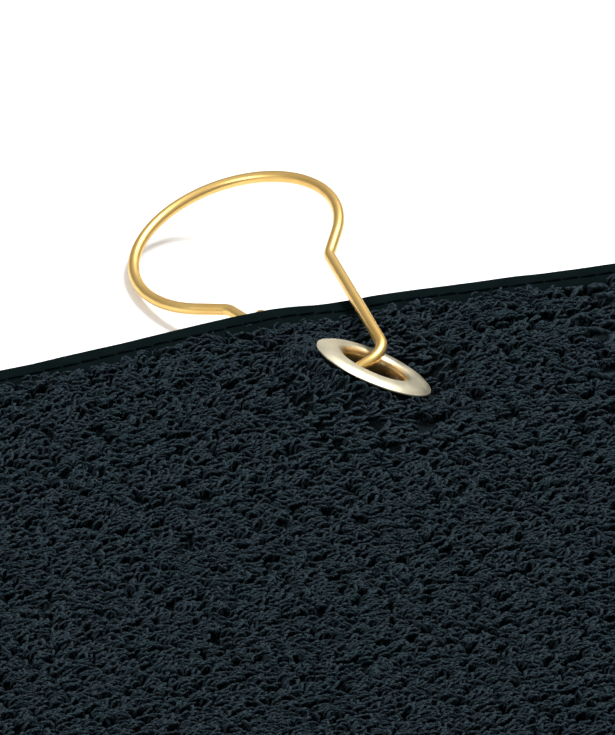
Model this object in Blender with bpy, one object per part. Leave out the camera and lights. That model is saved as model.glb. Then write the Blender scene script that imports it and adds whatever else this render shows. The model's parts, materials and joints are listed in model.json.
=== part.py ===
"""A terry golf towel, gate-folded on a table, with a brass grommet and a sprung wire hook at its top edge.

Metres, +Z up. X runs along the towel's top edge, +Y points over that edge towards the hook's loop, and the
table is Z = 0. The origin is the middle of the whole object's footprint. Dimensions are given in millimetres
and turned into metres by MM.
"""

import math

import bmesh
import bpy
from mathutils import Matrix, Vector

MM = 0.001

# Cloth: the flat towel, its folded layers and its hems
TOWEL_WIDTH = 432.0
TOWEL_LENGTH = 635.0
LAYER = 3.9
LAYER_GAP = 0.3
FLAP_GAP = 1.5
FOLD_GAP = 0.3
FOLD_ROUND = 3.4
HEM_WIDTH = 4.6
HEM_THICKNESS = 2.6
HEM_SINK = 0.4
HEM_FADE = 1.2
HEM_LIFT = 1.0
THREAD = 0.4
THREAD_INSET = 3.7
THREAD_GAP = 0.15
ROW_GAP = 1.0

# How the top layer rises over the hook's hidden leg and tilts with the grommet
RIDGE_HEIGHT = 3.0
RIDGE_X = -8.0
RIDGE_LEFT = 38.5
RIDGE_RIGHT = 57.0
RIDGE_FADE = 20.0
TILT_INNER = 8.0
TILT_OUTER = 17.0
TILT_MARGIN = 3.0

# Grommet: a domed eyelet pressed through the top layer, and the washer that it is rolled over
GROMMET_INSET = 21.2
GROMMET_RISE = 3.7
GROMMET_TILT_X = 22.5
GROMMET_TILT_Y = 4.6
FLANGE_RADIUS = 9.5
BORE_RADIUS = 5.0
LIP_ROLL = 1.3
LIP_DEPTH = 1.1
SHEET = 0.4
DOME = 0.9
SEAT_GAP = 0.15
CLAMPED_CLOTH = 1.1
WASHER_RADIUS = 8.4
WASHER_THICKNESS = 0.35
ROLL_REACH = 0.7
ROLL_THICKNESS = 0.3
RADIAL_ROOM = 0.4
BARREL_ROOM = 0.2
CUT_ABOVE = 8.0
CUT_BELOW = 12.0
ROUND_STEPS = 48
DOME_STEPS = 3
LIP_STEPS = 4
SHARP_ANGLE = 40.0

# Hook: one round wire bent to a pear shape, open at a catch beside its left neck
WIRE = 1.8
LOOP_RADIUS = 16.3
LOOP_END_ANGLE = 50.3
NECK_ALONG = 14.8
NECK_HALF_WIDTH = 8.9
NECK_BEND = 3.0
BEND_ALONG = 40.0
BEND_RADIUS = 4.3
BACK_BEND_RADIUS = 5.6
BACK_LEG_DIP = 1.6
DIP_SHARE = 0.8
HOOK_ROLL = 21.2
HOOK_DROOP = 4.9
HOOK_SWING = 12.0
APEX_ASIDE = -0.9
APEX_FROM_WALL = 3.8
APEX_BELOW = 0.6
WIRE_GAP = 0.35
LEG_SIDE_ROOM = 2.4
SWEEP_FROM_APEX = 1.5
SWEEP_ASIDE = 3.4
SWEEP_FLOOR = -2.0
GATE_END_GAP = 0.18
GATE_TIP = 6.4
CRADLE_ALONG = 4.9
CRADLE_TIP = 0.9
JOG_START = 11.8
JOG_END = 7.7
WIRE_STEP = 1.2
WIRE_FACET = 15.0
STRAIGHT_ENOUGH = 0.02

# Worked out from the sizes above
HALF_WIDTH = TOWEL_WIDTH / 4
TOP_PLANE = 2 * LAYER + LAYER_GAP
UPPER_FLOOR = LAYER + LAYER_GAP
LIP_RADIUS = BORE_RADIUS + LIP_ROLL
GROMMET_HEIGHT = TOP_PLANE + GROMMET_RISE
APEX_FROM_GROMMET = (APEX_ASIDE, BORE_RADIUS - APEX_FROM_WALL, -APEX_BELOW)
LEG_LEAN = math.atan2(NECK_HALF_WIDTH - BEND_RADIUS, BEND_ALONG - NECK_ALONG)
BACK_BEND_ALONG = BEND_ALONG + BEND_RADIUS - BACK_BEND_RADIUS
BACK_LEAN = math.atan2(NECK_HALF_WIDTH - BACK_BEND_RADIUS, BACK_BEND_ALONG - NECK_ALONG)
HOOK_LENGTH = LOOP_RADIUS + BEND_ALONG + BEND_RADIUS + WIRE / 2
HOOK_REACH = (
    (HOOK_LENGTH - WIRE / 2) * math.cos(math.radians(HOOK_DROOP))
    + WIRE / 2
    + APEX_FROM_GROMMET[1]
    - GROMMET_INSET
)
EDGE_Y = (TOWEL_LENGTH - HOOK_REACH) / 2
FOOT_Y = EDGE_Y - TOWEL_LENGTH

GROMMET_FRAME = (
    Matrix.Translation((0, EDGE_Y - GROMMET_INSET, GROMMET_HEIGHT))
    @ Matrix.Rotation(math.radians(GROMMET_TILT_X), 4, "Y")
    @ Matrix.Rotation(math.radians(-GROMMET_TILT_Y), 4, "X")
)
GROMMET_CENTER = GROMMET_FRAME.translation
HOOK_TURN = (
    Matrix.Rotation(math.radians(-HOOK_DROOP), 4, "X")
    @ Matrix.Rotation(math.radians(-HOOK_ROLL), 4, "Y")
)


def smooth_step(value):
    share = min(max(value, 0.0), 1.0)
    return share * share * (3 - 2 * share)


def hook_point(along, side, out=0.0):
    """A point of the hook: along from the loop centre, side to the upper leg, and out of its plane."""
    apex = GROMMET_CENTER + Vector(APEX_FROM_GROMMET)
    from_apex = Vector((side, BEND_ALONG + BEND_RADIUS - along, out))
    return apex + HOOK_TURN.to_3x3() @ from_apex


# ---- materials and objects ----

def material(name, color, roughness, metallic=0.0):
    made = bpy.data.materials.new(name)
    made.use_nodes = True
    shader = made.node_tree.nodes["Principled BSDF"]
    shader.inputs["Base Color"].default_value = (*color, 1)
    shader.inputs["Roughness"].default_value = roughness
    shader.inputs["Metallic"].default_value = metallic
    made.diffuse_color = (*color, 1)
    return made


def add_object(name, data, finish=None, parent=None):
    made = bpy.data.objects.new(name, data)
    bpy.context.scene.collection.objects.link(made)
    if finish:
        data.materials.append(finish)
    if parent:
        made.parent = parent
        made.matrix_parent_inverse = parent.matrix_world.inverted()
    return made


def add_pivot(name, position):
    """An empty on a joint's axis, which carries the pieces that turn there."""
    pivot = bpy.data.objects.new(name, None)
    pivot.location = Vector(position) * MM
    bpy.context.scene.collection.objects.link(pivot)
    bpy.context.view_layer.update()
    return pivot


def mesh_from(shape, name):
    """A finished mesh in metres from a bmesh in millimetres."""
    bmesh.ops.recalc_face_normals(shape, faces=shape.faces)
    bmesh.ops.scale(shape, vec=(MM, MM, MM), verts=shape.verts)
    mesh = bpy.data.meshes.new(name)
    shape.to_mesh(mesh)
    shape.free()
    return mesh


def hidden_cutter(name, mesh):
    cutter = add_object(name, mesh)
    cutter.hide_render = True
    cutter.display_type = "WIRE"
    return cutter


def cut(target, cutter):
    modifier = target.modifiers.new(cutter.name, "BOOLEAN")
    modifier.operation = "DIFFERENCE"
    modifier.solver = "EXACT"
    modifier.object = cutter


# ---- cloth ----

def hem_share(distance):
    """1 on the flat hem, 0 on the pile, for a distance in from a hemmed edge."""
    return 1 - smooth_step((distance - HEM_WIDTH) / HEM_FADE)


def round_drop(distance):
    """How far a folded edge has curved away, for a distance in from the fold."""
    inward = min(max(distance, 0.0), FOLD_ROUND)
    return FOLD_ROUND - math.sqrt(FOLD_ROUND**2 - (FOLD_ROUND - inward) ** 2)


def cloth_rise(x, y):
    """How far the top layer stands above its flat height, near the grommet and the hook's hidden leg."""
    across = x - GROMMET_CENTER.x
    along = y - GROMMET_CENTER.y
    spread = across - RIDGE_X
    length = RIDGE_LEFT if spread < 0 else RIDGE_RIGHT
    fade = math.exp(-((min(along, 0.0) / RIDGE_FADE) ** 2))
    ridge = RIDGE_HEIGHT * math.exp(-((spread / length) ** 2)) * fade
    normal = GROMMET_FRAME.to_3x3() @ Vector((0, 0, 1))
    level = GROMMET_HEIGHT - DOME - TOP_PLANE
    tilted = level - (normal.x * across + normal.y * along) / normal.z
    reach = math.hypot(across, along)
    share = 1 - smooth_step((reach - TILT_INNER) / (TILT_OUTER - TILT_INNER))
    return ridge + (tilted - ridge) * share


def end_distance(y):
    return min(EDGE_Y - y, y - FOOT_Y)


def center_top(x, y):
    drop = round_drop(HALF_WIDTH - FOLD_GAP / 2 - abs(x))
    return TOP_PLANE + cloth_rise(x, y) - drop - HEM_SINK * hem_share(end_distance(y))


def center_bottom(x, y):
    rise = max(cloth_rise(x, y), 0.0)
    thinning = LAYER - HEM_SINK - HEM_THICKNESS
    return UPPER_FLOOR + rise + thinning * hem_share(end_distance(y)) * smooth_step(rise / HEM_LIFT)


def flap_bottom(x, y):
    drop = round_drop(HALF_WIDTH - FOLD_GAP / 2 - abs(x))
    side = abs(x) - FLAP_GAP / 2
    hem = max(hem_share(end_distance(y)), hem_share(side))
    return max(drop, (LAYER - HEM_THICKNESS) * hem)


def stations(*runs):
    """Grid lines from runs of (start, stop, count), each line once and in order."""
    found = set()
    for start, stop, count in runs:
        for step in range(count + 1):
            found.add(round(start + (stop - start) * step / count, 4))
    return sorted(found)


def slab(name, x_lines, y_lines, top, bottom):
    """A closed sheet of cloth whose upper and lower faces follow two height functions."""
    shape = bmesh.new()
    upper = [[shape.verts.new((x, y, top(x, y))) for y in y_lines] for x in x_lines]
    lower = [[shape.verts.new((x, y, bottom(x, y))) for y in y_lines] for x in x_lines]
    last_x = len(x_lines) - 1
    last_y = len(y_lines) - 1
    for i in range(last_x):
        for j in range(last_y):
            for grid in (upper, lower):
                shape.faces.new((grid[i][j], grid[i + 1][j], grid[i + 1][j + 1]))
                shape.faces.new((grid[i][j], grid[i + 1][j + 1], grid[i][j + 1]))
    around = [(i, 0) for i in range(last_x)]
    around += [(last_x, j) for j in range(last_y)]
    around += [(i, last_y) for i in range(last_x, 0, -1)]
    around += [(0, j) for j in range(last_y, 0, -1)]
    for (i, j), (k, m) in zip(around, around[1:] + around[:1]):
        shape.faces.new((upper[i][j], upper[k][m], lower[k][m], lower[i][j]))
    return mesh_from(shape, name)


def end_lines(first, last):
    """Grid lines across the two end hems."""
    return [
        (first, first + HEM_WIDTH, 1),
        (first + HEM_WIDTH, first + HEM_WIDTH + HEM_FADE, 1),
        (last - HEM_WIDTH - HEM_FADE, last - HEM_WIDTH, 1),
        (last - HEM_WIDTH, last, 2),
    ]


def panel_lines(near):
    """Grid lines across the middle panel, closest within a distance of the grommet and at the folds."""
    half = HALF_WIDTH - FOLD_GAP / 2
    return stations(
        (-half, -half + FOLD_ROUND, 4),
        (-half + FOLD_ROUND, -near, 9),
        (-near, near, 20),
        (near, half - FOLD_ROUND, 9),
        (half - FOLD_ROUND, half, 4),
    )


def make_center_panel(finish):
    near = TILT_OUTER + TILT_MARGIN
    grommet_y = GROMMET_CENTER.y
    x_lines = panel_lines(near)
    y_lines = stations(
        *end_lines(FOOT_Y, EDGE_Y),
        (FOOT_Y + HEM_WIDTH + HEM_FADE, grommet_y - 2 * near, 5),
        (grommet_y - 2 * near, grommet_y - near, 4),
        (grommet_y - near, EDGE_Y - HEM_WIDTH - HEM_FADE, 16),
    )
    mesh = slab("center_panel", x_lines, y_lines, center_top, center_bottom)
    panel = add_object("center_panel", mesh, finish)
    flange_seat = -DOME - SHEET - SEAT_GAP
    washer_seat = flange_seat - CLAMPED_CLOTH
    cut(panel, disc_cutter("flange_seat", FLANGE_RADIUS + RADIAL_ROOM, flange_seat, CUT_ABOVE))
    cut(panel, disc_cutter("washer_seat", WASHER_RADIUS + RADIAL_ROOM, -CUT_BELOW, washer_seat))
    cut(panel, disc_cutter("grommet_hole", BORE_RADIUS + SHEET + BARREL_ROOM, -CUT_BELOW, CUT_ABOVE))
    cut(panel, leg_sweep_cutter())
    return panel


def disc_cutter(name, radius, low, high):
    """A disc on the grommet's axis, between two heights measured from its lip."""
    shape = bmesh.new()
    bmesh.ops.create_cone(
        shape,
        cap_ends=True,
        segments=ROUND_STEPS,
        radius1=radius,
        radius2=radius,
        depth=high - low,
        matrix=GROMMET_FRAME @ Matrix.Translation((0, 0, (low + high) / 2)),
    )
    return hidden_cutter(name, mesh_from(shape, name))


def leg_sweep_cutter():
    """Room under the top layer for the hook's hidden leg, over the whole angle that it swings through."""
    clear = WIRE / 2 + WIRE_GAP
    swing = math.radians(HOOK_SWING)
    start = hook_point(BEND_ALONG + BEND_RADIUS - SWEEP_FROM_APEX, -SWEEP_ASIDE, -BACK_LEG_DIP)
    bend = back_leg_start()
    jog = back_leg_end()
    leg = [bend.lerp(jog, share) for share in (0, 0.33, 0.67, 1)]
    catch = [catch_point(along, WIRE + WIRE_GAP, 0) for along in (JOG_END, CRADLE_ALONG)]
    route = [start] + leg + catch
    shape = bmesh.new()
    rows = []
    for point in route:
        radius = Vector((point.x - GROMMET_CENTER.x, point.y - GROMMET_CENTER.y, 0))
        margin = math.atan2(clear + LEG_SIDE_ROOM, radius.length)
        row = []
        for share in (-1, -0.5, 0, 0.5, 1):
            place = GROMMET_CENTER + Matrix.Rotation(share * (swing + margin), 3, "Z") @ radius
            high = shape.verts.new((place.x, place.y, point.z + clear))
            low = shape.verts.new((place.x, place.y, SWEEP_FLOOR))
            row.append((high, low))
        rows.append(row)
    for row, following in zip(rows, rows[1:]):
        for k in range(len(row) - 1):
            for level in (0, 1):
                a, b = row[k][level], row[k + 1][level]
                c, d = following[k + 1][level], following[k][level]
                shape.faces.new((a, b, c))
                shape.faces.new((a, c, d))
        for k in (0, -1):
            shape.faces.new((row[k][0], row[k][1], following[k][1], following[k][0]))
    for row in (rows[0], rows[-1]):
        for left, right in zip(row, row[1:]):
            shape.faces.new((left[0], right[0], right[1], left[1]))
    return hidden_cutter("leg_sweep", mesh_from(shape, "leg_sweep"))


def make_flap(name, side, finish, pivot):
    """One side panel, folded under the middle one and hinged at its outer edge."""
    inner = side * FLAP_GAP / 2
    outer = side * (HALF_WIDTH - FOLD_GAP / 2)
    hem = side * (HEM_WIDTH + HEM_FADE)
    x_lines = stations(
        (outer, outer - side * FOLD_ROUND, 5),
        (outer - side * FOLD_ROUND, inner + hem, 6),
        (inner + hem, inner, 3),
    )
    y_lines = stations(
        *end_lines(FOOT_Y, EDGE_Y),
        (FOOT_Y + HEM_WIDTH + HEM_FADE, EDGE_Y - HEM_WIDTH - HEM_FADE, 8),
    )
    mesh = slab(name, x_lines, y_lines, lambda *place: LAYER, flap_bottom)
    return add_object(name, mesh, finish, pivot)


def make_thread(name, points, finish, parent=None):
    """One row of hem stitching, as the line of thread that lies on the cloth."""
    return round_wire(name, points, THREAD, 1, finish, parent)


# ---- grommet ----

def turned_solid(name, profile):
    """A ring turned about the grommet's axis from a closed outline of (radius, height) points."""
    shape = bmesh.new()
    corners = [shape.verts.new((radius, 0, height)) for radius, height in profile]
    edges = [shape.edges.new((a, b)) for a, b in zip(corners, corners[1:] + corners[:1])]
    bmesh.ops.spin(
        shape,
        geom=corners + edges,
        cent=(0, 0, 0),
        axis=(0, 0, 1),
        angle=2 * math.pi,
        steps=ROUND_STEPS,
        use_merge=True,
    )
    bmesh.ops.remove_doubles(shape, verts=shape.verts, dist=0.0001)
    bmesh.ops.transform(shape, matrix=GROMMET_FRAME, verts=shape.verts)
    mesh = mesh_from(shape, name)
    mesh.shade_smooth()
    mesh.set_sharp_from_angle(angle=math.radians(SHARP_ANGLE))
    return mesh


def eyelet_skin(depth):
    """The outline from the flange's edge over the lip into the bore, at a depth in the sheet metal."""
    points = []
    for step in range(DOME_STEPS):
        share = step / DOME_STEPS
        radius = FLANGE_RADIUS + (LIP_RADIUS - FLANGE_RADIUS) * share
        points.append((radius, -DOME * (1 - share) ** 2 - depth))
    for step in range(LIP_STEPS + 1):
        angle = math.radians(90 * step / LIP_STEPS)
        radius = LIP_RADIUS - (LIP_ROLL - depth) * math.sin(angle)
        points.append((radius, (LIP_DEPTH - depth) * math.cos(angle) - LIP_DEPTH))
    return points


def make_eyelet(finish):
    """The upper half: a domed flange that turns down into a short barrel, flared under the washer."""
    barrel = BORE_RADIUS + SHEET
    washer_top = -DOME - SHEET - 2 * SEAT_GAP - CLAMPED_CLOTH
    roll_top = washer_top - WASHER_THICKNESS - SEAT_GAP
    roll_bottom = roll_top - ROLL_THICKNESS
    roll = [
        (BORE_RADIUS, roll_top),
        (BORE_RADIUS + ROLL_THICKNESS, roll_bottom),
        (barrel + ROLL_REACH, roll_bottom),
        (barrel + ROLL_REACH, roll_top),
        (barrel, roll_top),
    ]
    outline = eyelet_skin(0) + roll + eyelet_skin(SHEET)[::-1]
    return add_object("grommet_eyelet", turned_solid("grommet_eyelet", outline), finish)


def make_washer(finish):
    """The lower half: a flat ring that the barrel passes through."""
    inner = BORE_RADIUS + SHEET + BARREL_ROOM
    top = -DOME - SHEET - 2 * SEAT_GAP - CLAMPED_CLOTH
    bottom = top - WASHER_THICKNESS
    outline = [(WASHER_RADIUS, top), (inner, top), (inner, bottom), (WASHER_RADIUS, bottom)]
    return add_object("grommet_washer", turned_solid("grommet_washer", outline), finish)


# ---- hook ----

def back_leg_start():
    along = BACK_BEND_ALONG + BACK_BEND_RADIUS * math.sin(BACK_LEAN)
    return hook_point(along, -BACK_BEND_RADIUS * math.cos(BACK_LEAN), -BACK_LEG_DIP)


def catch_point(along_leg, inward, out):
    """A place at the catch: along the hidden leg from the neck, towards the inside, and out of plane."""
    along = NECK_ALONG + along_leg * math.cos(BACK_LEAN) - inward * math.sin(BACK_LEAN)
    side = -NECK_HALF_WIDTH + along_leg * math.sin(BACK_LEAN) + inward * math.cos(BACK_LEAN)
    return hook_point(along, side, out)


def back_leg_end():
    return catch_point(JOG_START, 0, 0)


def arc_points(center_along, radius, start, stop, dip=0.0):
    """Points on an arc in the hook's plane, in degrees from the grommet's side; dip lowers it as it goes."""
    count = max(2, round(abs(math.radians(stop - start)) * radius / WIRE_STEP))
    points = []
    for step in range(count + 1):
        angle = math.radians(start + (stop - start) * step / count)
        out = -dip * smooth_step(step / count / DIP_SHARE)
        points.append(hook_point(center_along + radius * math.cos(angle), radius * math.sin(angle), out))
    return points


def rounded(points, radius):
    """A route of straight runs whose inner corners are rounded to one bend radius."""
    route = [points[0]]
    for before, corner, after in zip(points, points[1:], points[2:]):
        first = (before - corner).normalized()
        second = (after - corner).normalized()
        turn = math.pi - first.angle(second)
        if turn < STRAIGHT_ENOUGH:
            route.append(corner)
            continue
        cut_back = radius * math.tan(turn / 2)
        cut_back = min(cut_back, (before - corner).length * 0.5, (after - corner).length * 0.5)
        fitted = cut_back / math.tan(turn / 2)
        center = corner + (first + second).normalized() * (fitted / math.cos(turn / 2))
        start = corner + first * cut_back - center
        axis = start.cross(corner + second * cut_back - center).normalized()
        count = max(2, math.ceil(turn / math.radians(WIRE_FACET)))
        for step in range(count + 1):
            route.append(center + Matrix.Rotation(turn * step / count, 3, axis) @ start)
    route.append(points[-1])
    return route


def round_wire(name, points, diameter, resolution, finish, parent=None):
    """A round wire along a route, with flat ends."""
    curve = bpy.data.curves.new(name, "CURVE")
    curve.dimensions = "3D"
    curve.bevel_depth = diameter / 2 * MM
    curve.bevel_resolution = resolution
    curve.use_fill_caps = True
    curve.twist_mode = "MINIMUM"
    spline = curve.splines.new("POLY")
    spline.points.add(len(points) - 1)
    for target, point in zip(spline.points, points):
        target.co = (*(point * MM), 1)
    spline.use_smooth = True
    return add_object(name, curve, finish, parent)


def make_hook_frame(finish, pivot):
    """From the loop's far end round the upper side, down the leg, through the grommet and to the catch."""
    gap_angle = math.degrees(GATE_END_GAP / LOOP_RADIUS)
    lean = math.degrees(LEG_LEAN)
    loop = arc_points(0, LOOP_RADIUS, 180 - gap_angle, LOOP_END_ANGLE)
    front = arc_points(BEND_ALONG, BEND_RADIUS, 90 - lean, 0)
    upper = rounded([loop[-1], hook_point(NECK_ALONG, NECK_HALF_WIDTH), front[0]], NECK_BEND)
    back_stop = math.degrees(BACK_LEAN) - 90
    back = arc_points(BACK_BEND_ALONG, BACK_BEND_RADIUS, 0, back_stop, BACK_LEG_DIP)
    wrap = WIRE + WIRE_GAP
    cradle = rounded(
        [
            back[-1],
            back_leg_end(),
            catch_point(JOG_END, wrap, 0),
            catch_point(CRADLE_ALONG, wrap, 0),
            catch_point(CRADLE_ALONG, wrap, -wrap),
            catch_point(CRADLE_ALONG, -wrap, -wrap),
            catch_point(CRADLE_ALONG, -wrap, CRADLE_TIP),
        ],
        wrap,
    )
    route = loop + upper[1:-1] + front + back[1:] + cradle[1:]
    return round_wire("hook_frame", route, WIRE, 4, finish, pivot)


def make_hook_gate(finish, pivot):
    """The lower half of the loop, whose free end lies in the catch."""
    gap_angle = math.degrees(GATE_END_GAP / LOOP_RADIUS)
    loop = arc_points(0, LOOP_RADIUS, -180 + gap_angle, -LOOP_END_ANGLE)
    tail = rounded([loop[-1], catch_point(0, 0, 0), catch_point(GATE_TIP, 0, 0)], NECK_BEND)
    return round_wire("hook_gate", loop + tail[1:], WIRE, 4, finish, pivot)


# ---- the whole towel ----

def main():
    for existing in list(bpy.data.objects):
        bpy.data.objects.remove(existing)

    terry = material("navy_terry", (0.010, 0.018, 0.024), 0.95)
    flap_terry = material("navy_terry_under", (0.009, 0.016, 0.022), 0.95)
    thread = material("navy_thread", (0.006, 0.012, 0.015), 0.7)
    plated = material("pale_brass_plate", (0.82, 0.76, 0.58), 0.28, 1.0)
    washer_brass = material("washer_brass", (0.70, 0.55, 0.28), 0.35, 1.0)
    wire_brass = material("wire_brass", (0.78, 0.52, 0.17), 0.25, 1.0)

    make_center_panel(terry)
    make_eyelet(plated)
    make_washer(washer_brass)

    fold_height = LAYER + LAYER_GAP / 2
    for name, side in (("left", -1), ("right", 1)):
        pivot = add_pivot(name + "_fold_axis", (side * HALF_WIDTH, 0, fold_height))
        make_flap(name + "_flap", side, flap_terry, pivot)
        low = LAYER - HEM_THICKNESS - THREAD_GAP - THREAD / 2
        inner = side * (FLAP_GAP / 2 + THREAD_INSET)
        outer = side * (HALF_WIDTH - FOLD_ROUND - FOLD_GAP)
        for end, y in (("top", EDGE_Y - THREAD_INSET), ("bottom", FOOT_Y + THREAD_INSET)):
            row = [Vector((inner + side * ROW_GAP, y, low)), Vector((outer, y, low))]
            make_thread(f"{name}_flap_{end}_thread", row, thread, pivot)
        row = [Vector((inner, FOOT_Y + THREAD_INSET, low)), Vector((inner, EDGE_Y - THREAD_INSET, low))]
        make_thread(name + "_flap_side_thread", row, thread, pivot)

    x_places = [x for x in panel_lines(TILT_OUTER + TILT_MARGIN) if abs(x) < HALF_WIDTH - FOLD_ROUND]
    for end, y in (("top", EDGE_Y - THREAD_INSET), ("bottom", FOOT_Y + THREAD_INSET)):
        lift = THREAD_GAP + THREAD / 2
        row = [Vector((x, y, center_top(x, y) + lift)) for x in x_places]
        make_thread(f"center_{end}_thread", row, thread)

    hook_pivot = add_pivot("hook_swing_axis", GROMMET_CENTER)
    make_hook_frame(wire_brass, hook_pivot)
    gate_pivot = add_pivot("gate_axis", hook_point(-LOOP_RADIUS, 0))
    make_hook_gate(wire_brass, gate_pivot)


main()
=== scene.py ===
import json
import math

import bmesh
import bpy
import numpy as np
from mathutils import Matrix, Vector, noise
from mathutils.bvhtree import BVHTree


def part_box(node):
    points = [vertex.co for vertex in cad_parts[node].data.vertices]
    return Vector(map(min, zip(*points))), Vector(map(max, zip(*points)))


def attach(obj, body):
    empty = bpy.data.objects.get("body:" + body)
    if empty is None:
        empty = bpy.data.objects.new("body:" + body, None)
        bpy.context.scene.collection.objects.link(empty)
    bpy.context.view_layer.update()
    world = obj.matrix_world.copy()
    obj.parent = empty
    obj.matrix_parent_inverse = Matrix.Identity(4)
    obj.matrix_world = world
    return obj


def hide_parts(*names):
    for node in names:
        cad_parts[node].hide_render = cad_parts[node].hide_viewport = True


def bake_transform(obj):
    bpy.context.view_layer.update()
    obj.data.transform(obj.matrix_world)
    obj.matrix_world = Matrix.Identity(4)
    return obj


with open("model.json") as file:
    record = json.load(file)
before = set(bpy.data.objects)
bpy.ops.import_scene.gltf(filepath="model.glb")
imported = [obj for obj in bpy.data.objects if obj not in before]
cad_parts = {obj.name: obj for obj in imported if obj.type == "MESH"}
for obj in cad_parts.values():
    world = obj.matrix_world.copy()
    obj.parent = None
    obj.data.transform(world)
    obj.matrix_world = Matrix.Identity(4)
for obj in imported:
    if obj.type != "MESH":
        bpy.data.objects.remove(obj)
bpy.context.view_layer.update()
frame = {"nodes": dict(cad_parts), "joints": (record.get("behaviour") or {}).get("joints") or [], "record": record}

# ---- The middle panel's woven ground ----
# Cotton terry is a thin plain weave that carries loops. This is the weave of the middle panel, which lies on
# the folded side panels, is pierced once for the grommet and rises over the hook's hidden leg.

MM = 0.001
LOOP_HEIGHT = 2.3 * MM
WEAVE_THICKNESS = 1.2 * MM
GROUND_STEP = 2.2 * MM
HEM_STEP_BACK = 6.5 * MM
FOLD_STEP_BACK = 4 * MM
FLANGE_RADIUS = 9.5 * MM
FLANGE_DROP = 0.9 * MM
SEAT_RADIUS = 10.4 * MM
CLOTH_HOLE = 6.2 * MM
CLAMPED_DEPTH = 0.55 * MM
CLAMP_START = 8.4 * MM
CLAMP_FADE = 1.5 * MM
PILE_HEIGHT = 8.1 * MM
GROUND_INSET = 2 * MM
TURN_STEP_BACK = 1.5 * MM

nodes = frame["nodes"]
joints = {joint["name"]: joint for joint in frame["joints"]}
panel_low, panel_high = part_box("center_panel")
foot_y, edge_y = panel_low.y, panel_high.y
fold_x = joints["right_fold"]["pos_m"][0]
fold_z = joints["right_fold"]["pos_m"][2]

grommet = Vector(joints["hook_swing"]["pos_m"])
eyelet_points = np.array([vert.co for vert in nodes["grommet_eyelet"].data.vertices])
spread = np.linalg.svd(eyelet_points - eyelet_points.mean(0), full_matrices=False)[2]
grommet_axis = Vector(spread[2]) * math.copysign(1, spread[2][2])


def face_finder(name, look):
    """A search for the height of a CAD node's face over a place, seen from above (-1) or below (1)."""
    mesh = nodes[name].data
    tree = BVHTree.FromPolygons([v.co for v in mesh.vertices], [p.vertices for p in mesh.polygons])

    def find(x, y):
        return tree.ray_cast(Vector((x, y, -look)), Vector((0, 0, look)))[0].z

    return find


panel_top = face_finder("center_panel", -1)


def panel_rise(x, y):
    """How far the middle panel stands above the height that it has where it lies flat."""
    inward_x = min(max(x, FOLD_STEP_BACK - fold_x), fold_x - FOLD_STEP_BACK)
    inward_y = min(max(y, foot_y + HEM_STEP_BACK), edge_y - HEM_STEP_BACK)
    return panel_top(inward_x, inward_y) - PILE_HEIGHT


def pile_top(x, y):
    """The height of the loops' tips over the middle panel."""
    x = min(max(x, FOLD_STEP_BACK - fold_x), fold_x - FOLD_STEP_BACK)
    y = min(max(y, foot_y + HEM_STEP_BACK), edge_y - HEM_STEP_BACK)
    across, along = x - grommet.x, y - grommet.y
    if math.hypot(across, along) > SEAT_RADIUS:
        return panel_top(x, y)
    level = grommet.z - FLANGE_DROP
    return level - (grommet_axis.x * across + grommet_axis.y * along) / grommet_axis.z


def smooth_step(value):
    share = min(max(value, 0.0), 1.0)
    return share * share * (3 - 2 * share)


def weave_top(x, y):
    """The height of the weave under the loops of the middle panel, which the grommet clamps flat."""
    reach = math.hypot(x - grommet.x, y - grommet.y)
    free = smooth_step((reach - CLAMP_START) / CLAMP_FADE)
    return pile_top(x, y) - CLAMPED_DEPTH - (LOOP_HEIGHT - CLAMPED_DEPTH) * free


class Value:
    """A number that changes over a surface: a shader socket, whose sums and products add Math nodes."""

    def __init__(self, finish, socket):
        self.finish = finish
        self.socket = socket

    def math(self, operation, *values):
        return self.finish.node("ShaderNodeMath", {"operation": operation}, *values)

    def __add__(self, other):
        return self.math("ADD", self, other)

    def __sub__(self, other):
        return self.math("SUBTRACT", self, other)

    def __mul__(self, other):
        return self.math("MULTIPLY", self, other)

    __radd__ = __add__


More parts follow.
